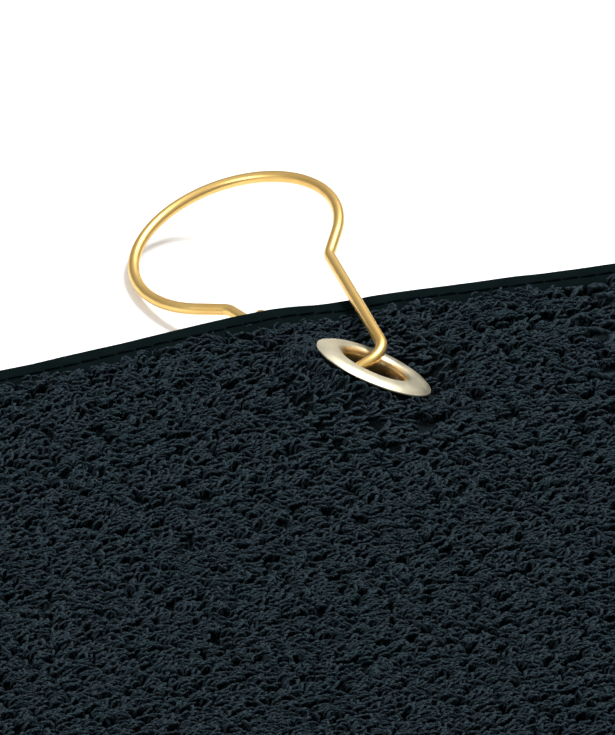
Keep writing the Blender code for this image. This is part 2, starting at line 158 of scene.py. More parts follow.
class Finish:
    """A material with one Principled shader, and the nodes that drive it."""

    def __init__(self, name, **constants):
        self.material = bpy.data.materials.new(name)
        self.material.use_nodes = True
        self.tree = self.material.node_tree
        self.shader = self.tree.nodes["Principled BSDF"]
        for socket, value in constants.items():
            self.shader.inputs[socket.replace("_", " ")].default_value = value

    def node(self, kind, settings, *values, output=0, **named):
        made = self.tree.nodes.new(kind)
        for setting, value in settings.items():
            setattr(made, setting, value)
        sockets = [*enumerate(values), *((name.replace("_", " "), v) for name, v in named.items())]
        for socket, value in sockets:
            if isinstance(value, Value):
                self.tree.links.new(value.socket, made.inputs[socket])
            else:
                made.inputs[socket].default_value = value
        return Value(self, made.outputs[output])

    def place(self):
        """Where a point of the surface is, in the object's own coordinates."""
        return self.node("ShaderNodeTexCoord", {}, output=3)

    def speckle(self, size, detail=2.0, roughness=0.5, stretch=(1, 1, 1)):
        """A soft random pattern from 0 to 1 whose spots are about one size across."""
        turned = self.node("ShaderNodeMapping", {}, self.place(), Scale=stretch)
        noise_settings = {"Scale": 1 / size, "Detail": detail, "Roughness": roughness}
        return self.node("ShaderNodeTexNoise", {}, Vector=turned, **noise_settings)

    def ramp(self, value, low, high):
        """The value stretched so that low becomes 0 and high becomes 1, cut off at both."""
        return self.node("ShaderNodeMapRange", {}, value, low, high, 0.0, 1.0)

    def blend_colors(self, share, first, second):
        mix = {"data_type": "RGBA"}
        made = self.node("ShaderNodeMix", mix, share, output=2)
        for index, color in ((6, first), (7, second)):
            if isinstance(color, Value):
                self.tree.links.new(color.socket, made.socket.node.inputs[index])
            else:
                made.socket.node.inputs[index].default_value = (*color, 1)
        return made

    def drive(self, **values):
        for socket, value in values.items():
            self.tree.links.new(value.socket, self.shader.inputs[socket.replace("_", " ")])

    def bump(self, height, distance, strength=1.0):
        settings = {"Strength": strength, "Distance": distance, "Height": height}
        self.drive(Normal=self.node("ShaderNodeBump", {}, **settings))


def add_piece(name, shape, finish, smooth=True):
    """A finished piece from a bmesh, at the origin, with its material."""
    mesh = bpy.data.meshes.new(name)
    shape.to_mesh(mesh)
    shape.free()
    mesh.materials.append(finish.material)
    if smooth:
        mesh.shade_smooth()
    piece = bpy.data.objects.new(name, mesh)
    bpy.context.scene.collection.objects.link(piece)
    return piece


def sheet_of_weave(x_from, x_to, y_from, y_to, height):
    """A grid of weave between four lines, with the height function's shape."""
    shape = bmesh.new()
    columns = math.ceil((x_to - x_from) / GROUND_STEP)
    rows = math.ceil((y_to - y_from) / GROUND_STEP)
    bmesh.ops.create_grid(shape, x_segments=columns, y_segments=rows, size=0.5)
    for vert in shape.verts:
        x = x_from + (x_to - x_from) * (vert.co.x + 0.5)
        y = y_from + (y_to - y_from) * (vert.co.y + 0.5)
        vert.co = (x, y, height(x, y))
    return shape


def thicken(piece, thickness):
    """Gives a surface its thickness on its back, and closes it all round."""
    walls = piece.modifiers.new("walls", "SOLIDIFY")
    walls.thickness = thickness
    walls.offset = -1


weave = Finish("navy_weave", Roughness=1.0, Specular_IOR_Level=0.05)
weave_mottle = weave.speckle(0.8 * MM)
# The weave's base colour is darker than the yarn's. This is painted shade in the gaps between the loops, laid over
# a random mottle.
weave.drive(Base_Color=weave.blend_colors(weave_mottle, (0.0025, 0.005, 0.006), (0.008, 0.013, 0.015)))
weave.bump(weave.speckle(0.5 * MM, detail=3), 0.3 * MM)

fold_center_x = fold_x - TURN_STEP_BACK
ground_foot_y, ground_edge_y = foot_y + GROUND_INSET, edge_y - GROUND_INSET
ground = sheet_of_weave(-fold_center_x, fold_center_x, ground_foot_y, ground_edge_y, weave_top)
pierced = [f for f in ground.faces if (f.calc_center_median() - grommet).xy.length < CLOTH_HOLE]
bmesh.ops.delete(ground, geom=pierced, context="FACES")
panel_cloth = add_piece("panel_cloth", ground, weave)
thicken(panel_cloth, WEAVE_THICKNESS)
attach(panel_cloth, "root")
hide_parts("center_panel")

# ---- The hems ----
# Each raw edge of the towel is turned over and sewn down as a narrow flat band without loops. Seen from
# above it is a smooth, slightly greener stripe of plain weave with a rounded outer edge.

HEM_WIDTH = 5.6 * MM
HEM_THICKNESS = 2.9 * MM
HEM_SQUARENESS = 2.7
HEM_STEP = 2.5 * MM
HEM_SIDES = 20
HEM_WANDER = 0.25 * MM
HEM_PUFF = 0.12
HEM_HEIGHT = 7.7 * MM
CATCH_LIFT = 0.35 * MM
CATCH_X = -10 * MM
CATCH_SPREAD = 10 * MM
FLAP_HEM_HEIGHT = 3.9 * MM
FLAP_SIDE = 0.75 * MM


def rod(sides, steps):
    """A straight round rod of radius 1 along X from 0 to 1, closed at both ends, cut into steps.

    Its UV map runs along it from 0 to 1 and round it from 0 to 1.
    """
    shape = bmesh.new()
    upright = Matrix.Translation((0.5, 0, 0)) @ Matrix.Rotation(math.pi / 2, 4, "Y")
    bmesh.ops.create_cone(
        shape, cap_ends=True, segments=sides, radius1=1, radius2=1, depth=1, matrix=upright
    )
    lengthwise = [e for e in shape.edges if abs(e.verts[0].co.x - e.verts[1].co.x) > 0.5]
    bmesh.ops.subdivide_edges(shape, edges=lengthwise, cuts=steps - 1, use_grid_fill=True)
    along = shape.loops.layers.uv.new("along")
    for face in shape.faces:
        middle = face.calc_center_median()
        facing = math.atan2(middle.z, middle.y)
        for corner in face.loops:
            co = corner.vert.co
            turned = (math.atan2(co.z, co.y) - facing + math.pi) % math.tau - math.pi + facing
            corner[along].uv = (co.x, turned / math.tau)
    return shape


def panel_hem_top(x, y):
    """The height of the middle panel's hem, which the hook's catch behind it holds up a little."""
    lift = CATCH_LIFT * math.exp(-((x - CATCH_X) / CATCH_SPREAD) ** 2) if y > 0 else 0
    return HEM_HEIGHT + panel_rise(x, y) + lift


def hem_profile(vert):
    """A rod's point on the hem's flattened round profile, sideways and upwards from -1 to 1."""
    angle = math.atan2(vert.co.z, vert.co.y)
    wide = math.copysign(abs(math.cos(angle)) ** (2 / HEM_SQUARENESS), math.cos(angle))
    tall = math.copysign(abs(math.sin(angle)) ** (2 / HEM_SQUARENESS), math.sin(angle))
    return wide, tall


def hem_band(start, end, height):
    """A flat band with rounded sides along a straight line, whose upper face follows a height function."""
    way = end - start
    across = Vector((-way.y, way.x, 0)).normalized()
    band = rod(HEM_SIDES, math.ceil(way.length / HEM_STEP))
    for vert in band.verts:
        line = start + way * vert.co.x
        wide, tall = hem_profile(vert)
        wander = noise.noise(line * 90) * HEM_WANDER
        middle = line + across * (wide * HEM_WIDTH / 2 + wander)
        puff = 1 + HEM_PUFF * noise.noise(line * 160)
        vert.co = (middle.x, middle.y, height(middle.x, middle.y) + (tall * puff - 1) * HEM_THICKNESS / 2)
    return band


hem_weave = Finish("navy_hem_weave", Roughness=1.0, Specular_IOR_Level=0.0)
ribs = hem_weave.speckle(0.45 * MM, detail=3, stretch=(0.55, 1.6, 1))
hem_tone = hem_weave.ramp(hem_weave.speckle(5 * MM, detail=3), 0.3, 0.7)
hem_color = hem_weave.blend_colors(hem_tone, (0.0016, 0.0036, 0.0038), (0.0030, 0.0062, 0.0064))
hem_weave.drive(Base_Color=hem_weave.blend_colors(ribs * 0.5, hem_color, (0.005, 0.009, 0.010)))
hem_weave.bump(ribs, 0.25 * MM, 0.8)

for name, y, side in (("top", edge_y, -1), ("foot", foot_y, 1)):
    middle_y = y + side * HEM_WIDTH / 2
    start, end = Vector((-fold_center_x, middle_y, 0)), Vector((fold_center_x, middle_y, 0))
    band = hem_band(start, end, panel_hem_top)
    hem = add_piece(f"panel_{name}_hem", band, hem_weave)
    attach(hem, "root")

# ---- The middle panel's pile ----
# The loops are soft two-ply cotton yarn, pulled up through the weave in tufts that stand in slightly skewed
# rows and lean over each other. Nearest the hook they are modelled finer than over the rest of the towel.

TUFT_PITCH = 3.77 * MM
TUFT_SKEW = math.radians(5.6)
TUFT_SCATTER = 0.38 * MM
FINE_CORNERS = ((-62, 30), (56, 30), (-6, -118), (-112, -96), (-112, -30))
FINE_FADE = 10 * MM
TRIANGLES_IN_A_PIECE = 190_000
ARCH_POWER = 0.5
ARCH_BULGE = 0.2
TUFT_SLUMP = 0.3
LOOP_TWIST = 0.25 * MM
SLOPE_STEP = 1.2 * MM
HEM_OVERHANG = 1.6 * MM
EDGE_OVERHANG = 1 * MM
FLANGE_OVERHANG = 0.1 * MM
FINE_LOOPS_IN_A_TUFT = 17
FINE_TUFT_REACH = 1.9 * MM
PLAIN_LOOPS_IN_A_TUFT = 2
PLAIN_TUFT_REACH = 1.2 * MM
OFF_THE_TABLE = 0.06 * MM
FOLD_CLEAR = 1.3 * MM

random = np.random.default_rng(17)


def tuft_places(x_from, x_to, y_from, y_to):
    """Tufts on a square lattice that is turned a little against the hem, each a little out of its place."""
    reach = math.ceil(math.hypot(x_to - x_from, y_to - y_from) / TUFT_PITCH / 2) + 2
    steps = np.arange(-reach, reach + 1) * TUFT_PITCH
    u, v = (grid.ravel() for grid in np.meshgrid(steps, steps))
    middle = np.array([(x_from + x_to) / 2, (y_from + y_to) / 2])
    cos, sin = math.cos(TUFT_SKEW), math.sin(TUFT_SKEW)
    places = middle + np.stack([u * cos - v * sin, u * sin + v * cos], 1)
    places += random.normal(0, TUFT_SCATTER, places.shape)
    inside = (places > (x_from, y_from)).all(1) & (places < (x_to, y_to)).all(1)
    return places[inside]


def strands(places, count, apart):
    """The foot of each loop, a few scattered round the place of each tuft, and its share of full height.

    The loops at the edge of a tuft are pulled over by those in the middle, and stand lower.
    """
    offsets = random.uniform(-apart, apart, (len(places) * count, 2))
    share = 1 - TUFT_SLUMP * (offsets**2).sum(1) / apart**2
    return np.repeat(places, count, axis=0) + offsets, share


def drift(spots, size, seed):
    """A smooth random number from about -1 to 1 for each spot, alike for spots that lie close together."""
    shift = Vector((seed, 2 * seed, 0))
    return np.array([noise.noise(Vector((x, y, 0)) / size + shift) for x, y in spots]) * 2


def arched(points, feet, up, heading, width, height, lean, twist, yarn):
    """Copies of a straight rod's points, each bent to an arch that stands on its foot.

    All after points have one row or number for each copy: where it stands, its up and heading directions,
    how wide and high it is, how far it leans aside and twists, and the yarn's radius.
    """
    turn = points[:, 0] * math.pi
    sin, cos = np.sin(turn)[None, :], np.cos(turn)[None, :]
    rise = np.maximum(sin, 0) ** ARCH_POWER
    rise_slope = ARCH_POWER * np.maximum(sin, 0.1) ** (ARCH_POWER - 1) * cos
    numbers = (width, height, lean, twist, yarn)
    width, height, lean, twist, yarn = (np.asarray(v, float)[:, None] for v in numbers)
    wave, wave_slope = np.sin(2 * turn)[None, :], 2 * np.cos(2 * turn)[None, :]
    across = -width / 2 * cos * (1 + ARCH_BULGE * sin)
    path = np.stack([across, lean * sin + twist * wave, height * rise], 2)
    slope = np.stack([width / 2 * sin, lean * cos + twist * wave_slope, height * rise_slope], 2)
    slope /= np.linalg.norm(slope, axis=2, keepdims=True)
    flank = np.array([0.0, 1.0, 0.0]) - slope * slope[:, :, 1:2]
    flank /= np.linalg.norm(flank, axis=2, keepdims=True)
    back = np.cross(slope, flank)
    ring = flank * points[None, :, 1:2] + back * points[None, :, 2:3]
    local = path + ring * yarn[:, :, None]
    axes = np.stack([heading, np.cross(up, heading), up], 1)
    return feet[:, None, :] + np.einsum("nvi,nij->nvj", local, axes)


def stamped(shape, copies):
    """One bmesh that holds the shape again for each array of bent points."""
    single = bpy.data.meshes.new("single")
    shape.to_mesh(single)
    whole = bmesh.new()
    for points in copies:
        single.vertices.foreach_set("co", points.astype(np.float32).ravel())
        whole.from_mesh(single, face_normals=False)
    bpy.data.meshes.remove(single)
    return whole


def rod_points(shape):
    """The rod's points as rows, in the order that its copies need."""
    return np.array([vert.co for vert in shape.verts])


YARN_TURNS = 2.5

terry = Finish("navy_terry", Roughness=0.85, Specular_IOR_Level=0.2)
patches = terry.ramp(terry.speckle(7 * MM, detail=2), 0.35, 0.65)
fibres = terry.ramp(terry.speckle(0.45 * MM, detail=3), 0.3, 0.75)
uv = terry.node("ShaderNodeUVMap", {"uv_map": "along"})
lengthwise = terry.node("ShaderNodeSeparateXYZ", {}, uv, output=0)
round_about = terry.node("ShaderNodeSeparateXYZ", {}, uv, output=1)
winding = round_about - lengthwise * YARN_TURNS
plies = winding.math("SINE", winding * (2 * math.tau))
relief = plies * 0.28 + 0.5 + (fibres - 0.5) * 0.44
# The yarn's colour follows its relief. It is darker in the grooves between the plies as painted shade, and lighter
# on the ply ridges as painted highlight. The fibre speckle and the broad patches are random tone.
shaded_yarn_color = terry.blend_colors(patches, (0.0040, 0.0100, 0.0145), (0.0045, 0.0125, 0.0165))
lit_yarn_color = terry.blend_colors(patches, (0.0230, 0.0420, 0.0570), (0.0200, 0.0430, 0.0540))
terry.drive(Base_Color=terry.blend_colors(terry.ramp(relief, 0.15, 0.95), shaded_yarn_color, lit_yarn_color))
terry.bump(relief, 0.16 * MM, 1.0)


def surface_frame(spots, depth):
    """Feet and upward directions on the weave below the pile's tips, for spots on the middle panel."""
    here = np.array([pile_top(x, y) for x, y in spots])
    slope_x = np.array([pile_top(x + SLOPE_STEP, y) for x, y in spots]) - here
    slope_y = np.array([pile_top(x, y + SLOPE_STEP) for x, y in spots]) - here
    up = np.stack([-slope_x / SLOPE_STEP, -slope_y / SLOPE_STEP, np.ones(len(spots))], 1)
    up /= np.linalg.norm(up, axis=1, keepdims=True)
    return np.column_stack([spots, here]) - up * depth, up


def level_heading(up, yaw):
    """Unit directions square to up that point yaw round from the X axis."""
    flat = np.stack([np.cos(yaw), np.sin(yaw), np.zeros(len(yaw))], 1)
    flat -= up * (flat * up).sum(1, keepdims=True)
    return flat / np.linalg.norm(flat, axis=1, keepdims=True)


def lay_pile(name, spots, share, feet, up, shape, sizes, turn=0.0, combed=-0.3):
    """Pieces of pile, each under the most triangles a piece may have, none of it below the table's top.

    Turn is the way that the loops face, from the X axis. Combed is how far they all lean to their left.
    """
    width, height, yarn = sizes
    count = len(spots)
    yaw = turn + 0.2 * drift(spots, 9 * MM, 3) + random.normal(0, 0.42, count)
    lean = height * (0.12 * drift(spots, 12 * MM, 8) + random.normal(combed, 0.25, count))
    copies = arched(
        rod_points(shape), feet, up, level_heading(up, yaw),
        width * random.uniform(0.75, 1.3, count),
        height * share * random.uniform(0.92, 1.05, count) * (1 + 0.07 * drift(spots, 7 * MM, 5)),
        lean, random.normal(0, LOOP_TWIST, count), yarn * random.uniform(0.85, 1.15, count),
    )
    copies[:, :, 2] = np.maximum(copies[:, :, 2], OFF_THE_TABLE)
    triangles = sum(len(face.verts) - 2 for face in shape.faces)
    most = TRIANGLES_IN_A_PIECE // triangles
    order = np.argsort(-spots[:, 1], kind="stable")
    made = []
    for number, start in enumerate(range(0, count, most), 1):
        chosen = copies[order[start:start + most]]
        made.append(add_piece(f"{name}_{number}", stamped(shape, chosen), terry))
    return made


def inside_share(spots, corners):
    """1 for spots well inside a convex outline round the grommet, 0 well outside, random between."""
    share = np.full(len(spots), 1.0)
    ring = np.array(corners) * MM + (grommet.x, grommet.y)
    for start, end in zip(ring, np.roll(ring, -1, axis=0)):
        way = (end - start) / np.linalg.norm(end - start)
        inward = (spots - start) @ np.array([way[1], -way[0]])
        share = np.minimum(share, 0.5 + inward / (2 * FINE_FADE))
    return share


loop = rod(3, 5)
hem_gap = HEM_WIDTH - HEM_OVERHANG
pile_x = fold_center_x - FOLD_CLEAR
tufts = tuft_places(-pile_x, pile_x, foot_y + hem_gap, edge_y - hem_gap + EDGE_OVERHANG)
is_fine = inside_share(tufts, FINE_CORNERS) > random.random(len(tufts))

spots, share = strands(tufts[is_fine], FINE_LOOPS_IN_A_TUFT, FINE_TUFT_REACH)
off_grommet = np.hypot(*(spots - (grommet.x, grommet.y)).T) > FLANGE_RADIUS - FLANGE_OVERHANG
clear = (spots[:, 1] < edge_y - hem_gap) & off_grommet
spots, share = spots[clear], share[clear]
feet, up = surface_frame(spots, LOOP_HEIGHT)
fine_sizes = (1.65 * MM, LOOP_HEIGHT, 0.29 * MM)
pile = lay_pile("panel_fine_pile", spots, share, feet, up, loop, fine_sizes)

spots, share = strands(tufts[~is_fine], PLAIN_LOOPS_IN_A_TUFT, PLAIN_TUFT_REACH)
feet, up = surface_frame(spots, LOOP_HEIGHT)
plain_sizes = (3.0 * MM, LOOP_HEIGHT, 0.55 * MM)
pile += lay_pile("panel_pile", spots, share, feet, up, loop, plain_sizes)
for piece in pile:
    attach(piece, "root")

# ---- The folds ----
# At each side the towel turns over and goes back under itself. The turn is soft and round, its loops stand
# out fanwise, and the two end hems turn with it.

FOLD_LOOPS = 1250
FOLD_STEPS = 14
FOLD_ABOVE = 2.5
FOLD_BELOW = -0.5

flap_hem_low = FLAP_HEM_HEIGHT - HEM_THICKNESS
sides = (("left", -1), ("right", 1))


def turned_band(side, middle_y, width, low, high, thickness):
    """A flat band that turns half round the towel's fold, from its upper face to its lower."""
    band = rod(HEM_SIDES, FOLD_STEPS)
    for vert in band.verts:
        angle = math.pi * (0.5 - vert.co.x)
        wide, tall = hem_profile(vert)
        radius = (high - low) / 2 + (tall - 1) * thickness / 2
        x = fold_center_x + radius * math.cos(angle)
        vert.co = (side * x, middle_y + wide * width / 2, (low + high) / 2 + radius * math.sin(angle))
    if side < 0:
        bmesh.ops.reverse_faces(band, faces=band.faces)
    return band


folds = []
for name, side in sides:
    turns = []
    for end, middle_y in (("top", edge_y - HEM_WIDTH / 2), ("foot", foot_y + HEM_WIDTH / 2)):
        band = turned_band(side, middle_y, HEM_WIDTH, flap_hem_low, HEM_HEIGHT, HEM_THICKNESS)
        turns.append(add_piece(f"{name}_fold_{end}_hem", band, hem_weave))
    cloth_low, cloth_high = LOOP_HEIGHT, PILE_HEIGHT - LOOP_HEIGHT
    length = ground_edge_y - ground_foot_y
    band = turned_band(side, (edge_y + foot_y) / 2, length, cloth_low, cloth_high, WEAVE_THICKNESS)
    turns.append(add_piece(f"{name}_fold_cloth", band, weave))
    lines = random.uniform(foot_y + hem_gap, edge_y - hem_gap, FOLD_LOOPS)
    angles = random.uniform(-math.pi / 2, math.pi / 2, FOLD_LOOPS)
    up = np.stack([side * np.cos(angles), np.zeros(FOLD_LOOPS), np.sin(angles)], 1)
    feet = np.column_stack([np.full(FOLD_LOOPS, side * fold_center_x), lines, np.full(FOLD_LOOPS, fold_z)])
    feet += up * (cloth_high - cloth_low) / 2
    spots = np.column_stack([lines, angles * fold_z])
    even = np.ones(FOLD_LOOPS)
    turns += lay_pile(
        f"{name}_fold_pile", spots, even, feet, up, loop, plain_sizes, turn=math.pi / 2, combed=0
    )
    for piece in turns:
        above = Vector((side * fold_center_x, 0, FOLD_ABOVE * fold_z))
        below = Vector((side * fold_center_x, 0, FOLD_BELOW * fold_z))
        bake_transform(piece)
    folds += turns

# ---- The folded side panels ----
# Each side of the towel is folded under the middle panel. Its hemmed side edge lies hidden at the middle,
# and its loops are pressed against the table by the cloth's own weight.

FLAP_TUFT_REACH = 1.3 * MM
HEM_END = 1 * MM

flap_loop = rod(3, 4)
flap_sizes = (3.2 * MM, 1.8 * MM, 0.58 * MM)


def flap_weave_top(x, y):
    return LOOP_HEIGHT + WEAVE_THICKNESS


def flap_hem_top(x, y):
    return FLAP_HEM_HEIGHT


for name, side in sides:
    x_from, x_to = sorted((side * (FLAP_SIDE + GROUND_INSET), side * fold_center_x))
    ground = sheet_of_weave(x_from, x_to, ground_foot_y, ground_edge_y, flap_weave_top)
    flap_cloth = add_piece(f"{name}_flap_cloth", ground, weave)
    thicken(flap_cloth, WEAVE_THICKNESS)
    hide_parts(f"{name}_flap")
    side_x = side * (FLAP_SIDE + HEM_WIDTH / 2)
    top_y, low_y = edge_y - HEM_WIDTH / 2, foot_y + HEM_WIDTH / 2
    near_x, far_x = side * (FLAP_SIDE + HEM_END), side * fold_center_x
    flap_hems = []
    for end, start, stop in (
        ("side", (side_x, foot_y + HEM_END, 0), (side_x, edge_y - HEM_END, 0)),
        ("top", (near_x, top_y, 0), (far_x, top_y, 0)),
        ("foot", (near_x, low_y, 0), (far_x, low_y, 0)),
    ):
        band = hem_band(Vector(start), Vector(stop), flap_hem_top)
        flap_hems.append(add_piece(f"{name}_flap_{end}_hem", band, hem_weave))
    x_from, x_to = sorted((side * (FLAP_SIDE + hem_gap), side * pile_x))
    tufts = tuft_places(x_from, x_to, foot_y + hem_gap, edge_y - hem_gap)
    spots, share = strands(tufts, PLAIN_LOOPS_IN_A_TUFT, FLAP_TUFT_REACH)
    feet = np.column_stack([spots, np.full(len(spots), LOOP_HEIGHT)])
    up = np.tile([0.0, 0.0, -1.0], (len(spots), 1))
    flap_pile = lay_pile(f"{name}_flap_pile", spots, share, feet, up, flap_loop, flap_sizes, combed=0.3)
    for piece in (flap_cloth, *flap_hems, *flap_pile):
        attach(piece, f"{name}_flap")

# ---- The hem stitching ----
# A lockstitch runs along each hem near its inner edge, in thread that is hardly darker than the cloth. Its
# stitches sink into the hem, so that each one shows as a short low arch.

STITCH_PITCH = 3.0 * MM
STITCH_LENGTH = 2.5 * MM
STITCH_RISE = 0.2 * MM
THREAD_RADIUS = 0.17 * MM
THREAD_INSET = 3.7 * MM
THREAD_SCATTER = 0.05 * MM

stitch = rod(6, 6)
thread = Finish("navy_thread", Roughness=0.9, Specular_IOR_Level=0.0)
strand = thread.speckle(0.3 * MM, detail=2)
thread.drive(Base_Color=thread.blend_colors(strand, (0.0012, 0.0030, 0.0034), (0.0035, 0.0070, 0.0080)))


def flap_hem_underside(x, y):
    return flap_hem_low


def stitch_row(name, body, replaced, start, end, height, up_z):
    """A row of stitches along a straight line on the face of a hem that looks up or down."""
    way = np.subtract(end, start)
    length = np.linalg.norm(way)
    count = int(length / STITCH_PITCH)
    lines = np.array(start) + np.outer((np.arange(count) + 0.5) / count, way)
    feet = np.column_stack([lines, [height(x, y) for x, y in lines]])
    up = np.tile([0.0, 0.0, float(up_z)], (count, 1))
    heading = np.tile([*(way / length), 0.0], (count, 1))
    ones = np.ones(count)
    copies = arched(
        rod_points(stitch), feet, up, heading, STITCH_LENGTH * ones, STITCH_RISE * ones,
        random.normal(0, THREAD_SCATTER, count), 0 * ones, THREAD_RADIUS * ones,
    )
    row = add_piece(name, stamped(stitch, copies), thread)
    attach(row, body)
    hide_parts(replaced)


row_x = fold_x - THREAD_INSET
for end, y, node in (("top", edge_y - THREAD_INSET, "top"), ("foot", foot_y + THREAD_INSET, "bottom")):
    stitch_row(
        f"panel_{end}_stitches", "root", f"center_{node}_thread", (-row_x, y), (row_x, y),
        panel_hem_top, 1,
    )
    for name, side in sides:
        near_x = side * (FLAP_SIDE + THREAD_INSET + HEM_END)
        stitch_row(
            f"{name}_flap_{end}_stitches", f"{name}_flap", f"{name}_flap_{node}_thread",
            (near_x, y), (side * row_x, y), flap_hem_underside, -1,
        )
for name, side in sides:
    line_x = side * (FLAP_SIDE + THREAD_INSET)
    stitch_row(
        f"{name}_flap_side_stitches", f"{name}_flap", f"{name}_flap_side_thread",
        (line_x, foot_y + THREAD_INSET), (line_x, edge_y - THREAD_INSET), flap_hem_underside, -1,
    )

# ---- The grommet's eyelet ----
# The upper half of the grommet is one pressing of thin plated brass: a shallow domed flange with a rolled
# outer edge, a soft lip, and a barrel that goes down through the cloth and is curled out over the washer.

BORE_RADIUS = 5.0 * MM
LIP_ROLL = 1.3 * MM
LIP_DEPTH = 1.1 * MM
LIP_RADIUS = BORE_RADIUS + LIP_ROLL
SHEET = 0.4 * MM
SEAT_GAP = 0.15 * MM
CLAMPED_CLOTH = 1.1 * MM
WASHER_RADIUS = 8.4 * MM
WASHER_THICKNESS = 0.35 * MM
BARREL_ROOM = 0.2 * MM
ROLL_REACH = 0.7 * MM
ROLL_THICKNESS = 0.3 * MM
RIM_ROUND = 0.2 * MM
EYELET_RADIUS = 9.35 * MM
EYELET_DROP = 0.65 * MM
TURN_STEPS = 144
DOME_STEPS = 14
DOME_CROWDING = 1.6
LIP_STEPS = 10
RIM_STEPS = 6
BORE_FADE = 0.8

barrel = BORE_RADIUS + SHEET
washer_top = -FLANGE_DROP - SHEET - 2 * SEAT_GAP - CLAMPED_CLOTH
roll_top = washer_top - WASHER_THICKNESS - SEAT_GAP
grommet_turn = Vector((0, 0, 1)).rotation_difference(grommet_axis).to_matrix().to_4x4()


def eyelet_skin(depth):
    """The outline from the flange's edge over the lip into the bore, at a depth in the sheet metal."""
    points = []
    for step in range(DOME_STEPS):
        share = (step / DOME_STEPS) ** DOME_CROWDING
        radius = EYELET_RADIUS - RIM_ROUND + (LIP_RADIUS + RIM_ROUND - EYELET_RADIUS) * share
        points.append((radius, -EYELET_DROP * (1 - share) ** 3 - depth))
    for step in range(LIP_STEPS + 1):
        angle = math.radians(90 * step / LIP_STEPS)
        radius = LIP_RADIUS - (LIP_ROLL - depth) * math.sin(angle)
        points.append((radius, (LIP_DEPTH - depth) * math.cos(angle) - LIP_DEPTH))
    return points


def turned(outline):
    """A ring turned from a closed outline of (radius, height) points about the grommet's axis."""
    shape = bmesh.new()
    corners = [shape.verts.new((radius, 0, height)) for radius, height in outline]
    edges = [shape.edges.new((a, b)) for a, b in zip(corners, corners[1:] + corners[:1])]
    bmesh.ops.spin(
        shape, geom=corners + edges, cent=(0, 0, 0), axis=(0, 0, 1),
        angle=math.tau, steps=TURN_STEPS, use_merge=True,
    )
    bmesh.ops.recalc_face_normals(shape, faces=shape.faces)
    # The 'inside' share tells how deep a point lies in the bore. The plate's finish uses it for a painted
    # reflection and for a lower roughness.
    inside = shape.verts.layers.float.new("inside")
    for vert in shape.verts:
        vert[inside] = 1 - smooth_step((vert.co.xy.length - BORE_RADIUS) / (BORE_FADE * LIP_ROLL))
    bmesh.ops.transform(shape, matrix=Matrix.Translation(grommet) @ grommet_turn, verts=shape.verts)
    return shape


plate = Finish("pale_brass_plate", Metallic=1.0)
in_the_bore = plate.node("ShaderNodeAttribute", {"attribute_name": "inside"}, output=2)
haze = plate.ramp(plate.speckle(2.2 * MM, detail=4), 0.35, 0.75)
satin = plate.blend_colors(haze * 0.6, (0.80, 0.74, 0.56), (0.66, 0.60, 0.42))
# Inside the bore the base colour turns a deeper, warmer gold. This is a painted reflection of the gold wire and of
# the barrel's own walls.
plate.drive(
    Base_Color=plate.blend_colors(in_the_bore, satin, (0.86, 0.64, 0.32)),
    Roughness=0.38 + haze * 0.10 - in_the_bore * 0.10,
)
plate.bump(plate.speckle(0.4 * MM, detail=3), 0.008 * MM, 0.6)

rim = []
for step in range(1, RIM_STEPS):
    angle = math.radians(180 * step / RIM_STEPS)
    rim.append((
        EYELET_RADIUS - RIM_ROUND + RIM_ROUND * math.sin(angle),
        -EYELET_DROP - SHEET / 2 - SHEET / 2 * math.cos(angle),
    ))
roll = [
    (BORE_RADIUS, roll_top),
    (BORE_RADIUS + ROLL_THICKNESS, roll_top - ROLL_THICKNESS),
    (barrel + ROLL_REACH, roll_top - ROLL_THICKNESS),
    (barrel + ROLL_REACH, roll_top),
    (barrel, roll_top),
]
eyelet = add_piece(
    "eyelet", turned(eyelet_skin(0) + roll + eyelet_skin(SHEET)[::-1] + rim), plate
)
eyelet.data.set_sharp_from_angle(angle=math.radians(50))
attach(eyelet, "root")
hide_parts("grommet_eyelet")

# ---- The grommet's washer ----
# The lower half is a plain stamped ring of unplated brass, which clamps the cloth from below.

raw_brass = Finish("washer_brass", Metallic=1.0)
dulled = raw_brass.ramp(raw_brass.speckle(1.8 * MM, detail=3), 0.35, 0.7)
raw_brass.drive(
    Base_Color=raw_brass.blend_colors(dulled, (0.70, 0.53, 0.25), (0.50, 0.35, 0.15)),
    Roughness=0.30 + dulled * 0.2,
)
hole = barrel + BARREL_ROOM
outline = [
    (hole, washer_top),
    (hole, washer_top - WASHER_THICKNESS),
    (WASHER_RADIUS, washer_top - WASHER_THICKNESS),
    (WASHER_RADIUS, washer_top),
]
washer = add_piece("washer", turned(outline), raw_brass)
washer.data.set_sharp_from_angle(angle=math.radians(40))
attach(washer, "root")
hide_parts("grommet_washer")

# ---- The hook's wire ----
# One length of hard brass-plated spring wire, bent cold on pegs: a round loop, two necks, two legs and a
# tight turn that passes through the grommet. Its free end springs into a cradle bent from its other end.

WIRE = 1.8 * MM
LOOP_END_ANGLE = 50.3
NECK_ALONG = 14.8 * MM
NECK_HALF_WIDTH = 8.9 * MM
NECK_BEND = 3.0 * MM
BEND_ALONG = 40.0 * MM
BEND_RADIUS = 4.3 * MM
BACK_BEND_RADIUS = 5.6 * MM
BACK_LEG_DIP = 1.6 * MM
BACK_LEG_SHORTER = 1.3 * MM
WIRE_GAP = 0.35 * MM
GATE_TIP = 6.4 * MM
CRADLE_ALONG = 4.9 * MM
CRADLE_TIP = 0.9 * MM
JOG_START = 11.8 * MM
JOG_END = 7.7 * MM
WIRE_STEP = 0.5 * MM
WIRE_SIDES = 8
BEND_STEP = math.radians(6)
SEAM_ANGLE = 158.0

